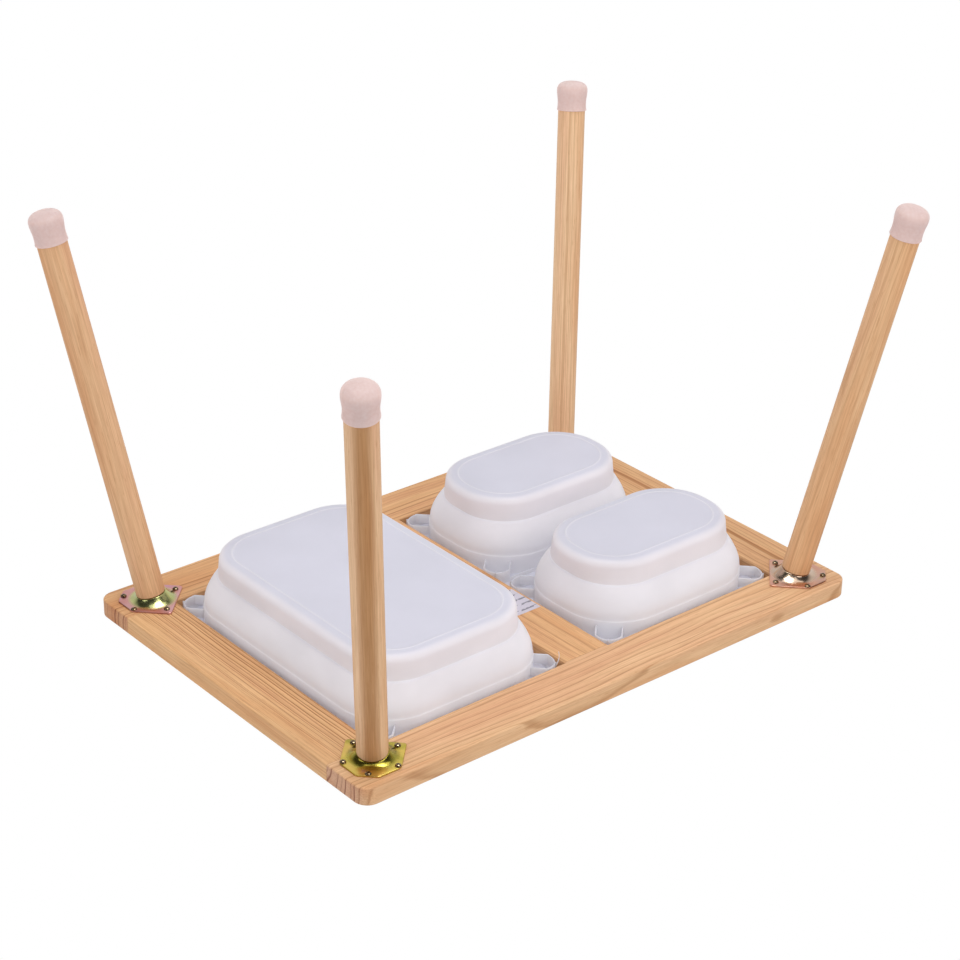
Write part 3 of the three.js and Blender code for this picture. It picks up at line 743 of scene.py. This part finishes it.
def build_corners():
    """What is on each corner: the leg, its cap, the plate with its screws, and the hanger bolt."""
    woods = {
        "front_left": pine(
            "pine_leg_front_left", 2, (0.034, 0.02), 0.0052, 31.1, tint=(0.97, 0.985, 1.04),
            tilt=(0.01, 0.01), warp=0.01, lines=0.35
        ),
        "front_right": pine(
            "pine_leg_front_right", 2, (0.06, -0.03), 0.0035, 37.7, tint=(1.06, 1.17, 1.32), warp=0.006,
            lines=0.5
        ),
        "back_right": pine(
            "pine_leg_back_right", 2, (-0.03, 0.05), 0.0056, 41.9, tint=(1.0, 1.02, 1.06), tilt=(0.01, 0.02),
            warp=0.01, lines=0.45
        ),
        # This leg carries a streak of painted shade on the side that faces the main view.
        "back_left": pine(
            "pine_leg_back_left", 2, (-0.09, -0.06), 0.0052, 47.3, tint=(0.99, 1.06, 1.18), warp=0.01,
            lines=0.22, painted_shade_band=(1.64, 0.66, 0.72)
        ),
    }
    # How pink each plate is, and the colour of its seat.
    finishes = {
        "front_left": (0.95, (196, 206, 132)),
        "front_right": (0.4, (190, 180, 84)),
        "back_right": (0.75, (222, 196, 172)),
        "back_left": (0.05, (178, 166, 66)),
    }
    soft = silicone()
    steel = bright_zinc()
    screw = screw_mesh(steel)
    for i, (corner, (sx, sy)) in enumerate(CORNERS.items()):
        build_leg(corner, sx, sy, woods[corner])
        build_cap(corner, sx, sy, soft)
        centre = leg_place(sx, sy).translation + Vector((0, 0, -PLATE_T * MM))
        zinc = yellow_zinc("yellow_zinc_" + corner, *finishes[corner], 2.0 + 4 * i, centre)
        build_plate(corner, sx, sy, zinc)
        for n, (u, v) in enumerate(SCREWS):
            at = Matrix.Translation(Vector((*corner_point(sx, sy, u, v), UNDER - PLATE_T)) * MM)
            at = at @ Matrix.Rotation(math.pi, 4, "X") @ Matrix.Rotation(0.7 * n + i, 4, "Z")
            name = f"screw_{corner}_{n + 1}"
            place(name + "_head", screw, steel, "frame", [name], at)
        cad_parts["hanger_bolt_" + corner].data.materials.clear()
        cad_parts["hanger_bolt_" + corner].data.materials.append(steel)


# ---- bins ----
def wall_stations(base, wide):
    """A bin's outer wall from its flat bottom up to the rim: (depth, half sizes a and b, corner radius)."""
    stations = []

    def at(depth, part, grow):
        stations.append((depth, *(size + grow for size in part)))

    def between(depth, low, high, k):
        stations.append((depth, *(size + (other - size) * k for size, other in zip(low, high))))

    # The bottom, with the fine bead that runs round inside its rounded edge.
    at(BIN_D, base, -22)
    for rise, inset in ((0, 18.6), (0.35, 18.1), (0.5, 17.7), (0.35, 17.3), (0, 16.6), (0, 13)):
        at(BIN_D + rise, base, -inset)
    side = BIN_D - BIN_EDGE_R
    for i in range(9):
        t = i / 8 * math.pi / 2
        at(side + BIN_EDGE_R * math.cos(t), base, -BIN_EDGE_R * (1 - math.sin(t)))
    crease = (base[0] - 1.5, base[1] + 2, base[2] - 5)
    for k in (0.25, 0.5, 0.75, 0.93):
        between(side - (side - CREASE_D) * k, base, crease, k)
    # The crease: a slim lip, then the shoulder that swells out to the wider part.
    for depth, grow in ((CREASE_D + 0.1, 0.1), (CREASE_D - 0.2, 0.5), (CREASE_D - 0.4, 1.1)):
        at(depth, crease, grow)
    shoulder = tuple(size + 1.3 for size in crease)
    for i in range(1, 17):
        k = i / 16
        between(CREASE_D - 0.6 - 36 * k, shoulder, wide, 1 - (1 - k) ** 1.55)
    # The wider part, with a fine step a third of the way down from the rim.
    step = ((36, 0.1), (33.2, 0.25), (32.6, 0.5), (32.2, 0.95), (31.6, 1.1), (26, 1.1), (16, 1.1))
    for depth, grow in step:
        stations.append((depth, wide[0] + grow, wide[1] + grow, wide[2] + grow * 0.5))
    stations.append((LEDGE_D - GAP, wide[0] + 1.1, wide[1] + 1.1, wide[2]))
    return stations


def build_bin(name, cx, cy, half_b, base, wide, material, bright, curl=False):
    """A bin with its centre at (cx, cy). One closed skin runs up the outside, round the skirt and the rim,
    and down the inside, and the corner walls are joined to it."""
    rim_a = OPEN_X / 2 + LEDGE_W - RIM_CLEAR
    skirt_a, skirt_b = rim_a - RIM_OVERHANG, half_b - RIM_OVERHANG
    under, top = LEDGE_D - GAP, LEDGE_D - GAP - RIM_T
    loops = []

    def ring(depth, a, b, r):
        loops.append(rounded(cx, cy, HEIGHT - depth, a, b, r))

    outer = wall_stations(base, wide)
    for station in outer:
        ring(*station)
    # The skirt under the rim, inside, edge and outside, then the rim with its rounded edge.
    inner = ((under, 1.8), (SKIRT_D - 0.4, 1.6), (SKIRT_D, 1.2))
    outside = ((SKIRT_D, 0.4), (SKIRT_D - 0.4, 0), (under, 0))
    for depth, inset in inner + outside:
        ring(depth, skirt_a - inset, skirt_b - inset, SKIRT_R - inset)
    edge_r = RIM_T / 2
    for i in range(9):
        t = i / 8 * math.pi
        inset = edge_r * (1 - math.sin(t))
        ring((under + top) / 2 + edge_r * math.cos(t), rim_a - inset, half_b - inset, RIM_R - inset)
    # A low stiffening bead on the rim, then the mouth and the inside.
    for rise, inset in ((0, 4), (0.5, 4.6), (0.7, 5.4), (0.5, 6.2), (0, 6.8)):
        ring(top - rise, rim_a - inset, half_b - inset, RIM_R + inset * 0.6)
    mouth_r = 2
    for i in range(6):
        t = i / 5 * math.pi / 2
        grow = mouth_r * (1 - math.sin(t)) - 0.5
        ring(top + mouth_r * (1 - math.cos(t)), wide[0] + grow, wide[1] + grow, wide[2] + grow)
    for depth, a, b, r in reversed(outer):
        if 12 < depth < 106.9:
            # The inside runs 2 mm within the outside, and from about the crease down a little above it.
            shallow = 1.5 if depth > 60 else 0
            ring(depth - shallow, a - 2, b - 2, r - 2)
    for depth, inset in ((107, 8), (107.2, 12), (107.2, 22)):
        ring(depth, base[0] - inset, base[1] - inset, base[2] - inset)
    shell = mesh_of(name + "_shell", *loft(loops), degrees=48)
    joined = bmesh.new()
    for piece in [shell] + corner_walls(cx, cy, skirt_a, skirt_b, wide, curl):
        joined.from_mesh(piece)
    for face in joined.faces:
        face.smooth = True
        # The bead and the crease's lip take the whiter copy, a painted highlight.
        face.material_index = int(takes_painted_highlight(face))
    whole = bpy.data.meshes.new(name + "_shape")
    joined.to_mesh(whole)
    joined.free()
    whole.materials.append(material)
    whole.materials.append(bright)
    place(name + "_plastic", whole, material, name, [name])


def takes_painted_highlight(face):
    """Whether a face is on the bottom's bead or the crease's slim lip, which take the whiter copy of the
    plastic as a painted highlight.
    """
    depth = HEIGHT - face.calc_center_median().z / MM
    return depth > BIN_D + 0.1 or CREASE_D - 0.45 < depth < CREASE_D + 0.15


def corner_spine(a, b, wide):
    """Half of a corner wall's path, for a skirt's corner at (a, b): (x, y, normal x, normal y).

    It runs from the middle of the corner's arc along one side, turns, and goes in to the bin's wall,
    parallel to the diagonal.
    """
    straight, turn, lean_in = 24, 4, math.radians(45)
    spine = []

    def arc(x, y, r, t):
        spine.append((x + r * math.cos(t), y + r * math.sin(t), math.cos(t), math.sin(t)))

    for i in range(9):
        arc(a - SKIRT_R, b - SKIRT_R, SKIRT_R, math.pi / 4 * (1 + i / 8))
    for i in range(1, 4):
        spine.append((a - SKIRT_R - (straight - SKIRT_R) * i / 3, b, 0, 1))
    for i in range(1, 6):
        arc(a - straight, b - turn, turn, math.pi / 2 + lean_in * i / 5)
    # The reach from there to the wall's round corner, which it enters by half a millimetre.
    x, y, nx, ny = spine[-1]
    dx, dy = -ny, nx
    px, py = x - (wide[0] - wide[2]), y - (wide[1] - wide[2])
    along = px * dx + py * dy
    reach = -along - math.sqrt(max(0.0, along ** 2 - (px ** 2 + py ** 2 - (wide[2] - 0.5) ** 2)))
    for i in range(1, 5):
        spine.append((x + dx * reach * i / 4, y + dy * reach * i / 4, nx, ny))
    return spine


def corner_walls(cx, cy, a, b, wide, curl):
    """The deeper wall at each corner of the skirt: an arc that reaches down to a horn at each end, from
    where it runs in to the bin's wall. A slim fin stands on the diagonal."""
    made = []
    thick, start, foot, horn, horn_at = 1.7, 11.2, 23.8, 25.4, 23
    fin_half, fin_out, fin_top = 0.6, 1.6, 7
    half = corner_spine(a, b, wide)
    other = [(x, y, nx, ny) for y, x, ny, nx in corner_spine(b, a, (wide[1], wide[0], wide[2]))]
    spine = list(reversed(half)) + other[1:]
    lengths = [0.0]
    for i in range(1, len(spine)):
        lengths.append(lengths[-1] + math.dist(spine[i][:2], spine[i - 1][:2]))
    middle = lengths[len(half) - 1]
    for sx, sy in ((1, 1), (-1, 1), (-1, -1), (1, -1)):
        loops = []
        for (x, y, nx, ny), at in zip(spine, lengths):
            edge = foot + (horn - foot) * min(1.0, abs(at - middle) / horn_at) ** 2.4
            section = [(-0.1, start), (-0.1, edge - 0.6), (0.2, edge - 0.15), (0.5, edge)]
            section += [(thick - 0.6, edge), (thick - 0.25, edge - 0.15)]
            section += [(thick, edge - 0.6), (thick, start)]
            loop = []
            for inset, depth in section:
                loop.append((cx + sx * (x - nx * inset), cy + sy * (y - ny * inset), HEIGHT - depth))
            loops.append(loop)
        made.append(mesh_of("wall", *loft(loops), degrees=40))
        # The fin on the diagonal.
        out = Vector((sx, sy)).normalized()
        side = Vector((-out.y, out.x)) * fin_half
        mid = Vector((cx + sx * (a - SKIRT_R), cy + sy * (b - SKIRT_R)))
        near, far = mid + out * (SKIRT_R - thick), mid + out * (SKIRT_R + fin_out)
        outline = [near - side, far - side, far + side, near + side]
        loops = [[(p.x, p.y, HEIGHT - depth) for p in outline] for depth in (foot + 1.2, fin_top)]
        made.append(mesh_of("fin", *loft(loops)))
        if curl and (sx, sy) == (1, 1):
            made.append(curl_mesh(far, out, HEIGHT - foot))
    return made


def curl_mesh(root, out, z):
    """A thin curled strip of flash left on one corner, which narrows to its end."""
    length, bulge, wide, thin = 21, 4.6, 1.9, 0.6
    loops = []
    across = Vector((-out.y, out.x, 0))
    away = Vector((out.x, out.y, 0))
    for i in range(13):
        k = i / 12
        centre = Vector((root.x, root.y, z + 5)) + away * (bulge * math.sin(k * math.pi * 0.72) - 1.2)
        centre -= across * (1.5 * k * k)
        centre.z -= length * k
        reach, half = wide * (1 - k * 0.75), thin * (1 - 0.5 * k)
        loop = []
        for s, t in ((-1, -1), (1, -1), (1, 1), (-1, 1)):
            loop.append(tuple(centre + across * (reach * s) + away * (half * t)))
        loops.append(loop)
    return mesh_of("curl", *loft(loops), degrees=60)


def build_bins():
    """One large bin in the left opening, two small ones side by side in the right one."""
    plastic = milky_plastic("milky_polypropylene", 0.0)
    # A whiter copy of the plastic, for the painted highlight on the bead and the crease's lip.
    bright = milky_plastic("milky_polypropylene_painted_highlight", 0.25)
    long = OPEN_Y / 2 + LEDGE_W - RIM_CLEAR
    build_bin("large_bin", -OPEN_CENTRE, 0, long, LARGE_BASE, LARGE_WIDE, plastic, bright, curl=True)
    half = (long - BIN_GAP) / 2
    for name, side in (("small_bin_front", -1), ("small_bin_back", 1)):
        build_bin(name, OPEN_CENTRE, side * (long - half), half, SMALL_BASE, SMALL_WIDE, plastic, bright)


def build_label():
    """The paper label, as large as its CAD node."""
    lo, hi = (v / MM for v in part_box("label"))
    mesh = mesh_of("label_shape", *box(tuple(lo), tuple(hi)))
    place("label_sheet", mesh, label_paper(), "frame", ["label"])


def dress_hidden_nodes():
    """The dowels stay as the CAD part has them, and only take a material."""
    beech = hardwood()
    for name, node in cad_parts.items():
        if name.startswith("dowel_"):
            node.data.materials.clear()
            node.data.materials.append(beech)


# ---- stage, lights, camera ----
def floor_paint():
    """Pale above, and see-through from below, from where the main view looks at the table."""
    t = Tree("studio_floor")
    geometry = t.add("ShaderNodeNewGeometry")
    mottle = t.noise(geometry.outputs["Position"], scale=1.5, detail=2)
    color = t.ramp(mottle, [(0.3, grey(0.86)), (0.7, grey(0.89))])
    values = {"Base Color": color, "Roughness": 0.9, "Specular IOR Level": 0.1}
    pale = t.add("ShaderNodeBsdfPrincipled", values)
    # Away from the table the floor fades into the white of the studio.
    white = t.add("ShaderNodeEmission", {"Color": grey(1.0), "Strength": 1.0})
    away = t.add("ShaderNodeVectorMath", {0: geometry.outputs["Position"]}, operation="LENGTH")
    white_from = 6.0
    far = t.ramp(t.math("DIVIDE", away.outputs["Value"], white_from), [(0.12, grey(0)), (1.0, grey(1))])
    ground = t.blend(far, pale.outputs[0], white.outputs[0])
    clear = t.add("ShaderNodeBsdfTransparent")
    return t.finish(t.blend(geometry.outputs["Backfacing"], ground, clear.outputs[0]))


def build_stage():
    """A wide floor, seen by the camera only, so that the lamps below it reach the table."""
    size = 60
    mesh = bpy.data.meshes.new("floor")
    verts = [(-size, -size, 0), (size, -size, 0), (size, size, 0), (-size, size, 0)]
    mesh.from_pydata(verts, [], [(0, 1, 2, 3)])
    mesh.materials.append(floor_paint())
    floor = bpy.data.objects.new("floor", mesh)
    bpy.context.scene.collection.objects.link(floor)
    floor.visible_shadow = False
    floor.visible_diffuse = False
    floor.visible_glossy = False
    floor.visible_transmission = False


def area_light(name, at, size, power):
    """A rectangular lamp that looks at the middle of the table."""
    data = bpy.data.lights.new(name, "AREA")
    data.shape = "RECTANGLE"
    data.size, data.size_y = size
    data.energy = power
    obj = bpy.data.objects.new(name, data)
    bpy.context.scene.collection.objects.link(obj)
    obj.location = at
    obj.rotation_mode = "QUATERNION"
    obj.rotation_quaternion = (Vector((0, 0, 0.45)) - Vector(at)).to_track_quat("-Z", "Y")
    return obj


def build_world():
    """White behind the table and soft light on surfaces. Reflections see a bright backdrop on one side of
    a dark studio, so that metal reads as metal."""
    world = bpy.data.worlds.new("studio")
    bpy.context.scene.world = world
    t = Tree("studio", world)
    path = t.add("ShaderNodeLightPath")
    seen = t.add("ShaderNodeBackground", {"Color": grey(1.0), "Strength": 1.0})
    soft = t.add("ShaderNodeBackground", {"Color": (0.97, 0.98, 1.0, 1), "Strength": 0.8})
    way = t.add("ShaderNodeTexCoord").outputs["Generated"]
    facing = t.add("ShaderNodeVectorMath", {0: way, 1: (0.642, -0.766, 0.0)}, operation="DOT_PRODUCT")
    backdrop = t.ramp(facing.outputs["Value"], [(0.35, grey(0.04)), (0.72, grey(0.85))])
    mirrored = t.add("ShaderNodeBackground", {"Color": backdrop})
    lit = t.blend(path.outputs["Is Glossy Ray"], soft.outputs[0], mirrored.outputs[0])
    t.finish(t.blend(path.outputs["Is Camera Ray"], lit, seen.outputs[0]), "ShaderNodeOutputWorld")


def build_lights():
    # Below: the soft boxes that light the underside, the side that the main view shows.
    area_light("box_below", (0.2, 0.3, -2.2), (2.4, 2.4), 24)
    area_light("box_right", (0.4, 2.9, -0.9), (1.4, 1.9), 20)
    area_light("box_left", (-2.8, -0.6, -0.8), (1.4, 1.7), 10)
    # A small lamp that only shows in reflections: the glints on the plates and the screws.
    glint = area_light("glint", (-0.1, 0.2, -0.8), (0.7, 0.7), 12)
    glint.visible_camera = False
    glint.visible_diffuse = False
    glint.visible_transmission = False
    # Above: for the views from the top.
    area_light("box_above", (-0.8, -1.2, 2.9), (2.2, 2.2), 24)


def build_camera():
    """The camera is upside down, as the table stands on its top in the main view, and rolled a little."""
    data = bpy.data.cameras.new("camera")
    camera = bpy.data.objects.new("camera", data)
    bpy.context.scene.collection.objects.link(camera)
    ahead = CAMERA_AHEAD.normalized()
    right = ahead.cross(Vector((0, 0, -1))).normalized()
    up = right.cross(ahead)
    roll = Matrix.Rotation(math.radians(CAMERA_ROLL), 3, ahead)
    right, up = roll @ right, roll @ up
    camera.matrix_world = Matrix.Translation(CAMERA_AT) @ Matrix((right, up, -ahead)).transposed().to_4x4()
    data.sensor_width = 36
    data.lens = data.sensor_width / 2 / math.tan(math.radians(CAMERA_ANGLE) / 2)
    data.clip_start, data.clip_end = 0.05, 200
    bpy.context.scene.camera = camera


def build_view():
    scene = bpy.context.scene
    scene.view_settings.view_transform = "Standard"
    scene.view_settings.look = "None"
    scene.cycles.use_denoising = True
    scene.cycles.max_bounces = 10
    scene.cycles.transparent_max_bounces = 12


build_frame()
build_corners()
build_bins()
build_label()
dress_hidden_nodes()
build_stage()
build_world()
build_lights()
build_camera()
build_view()
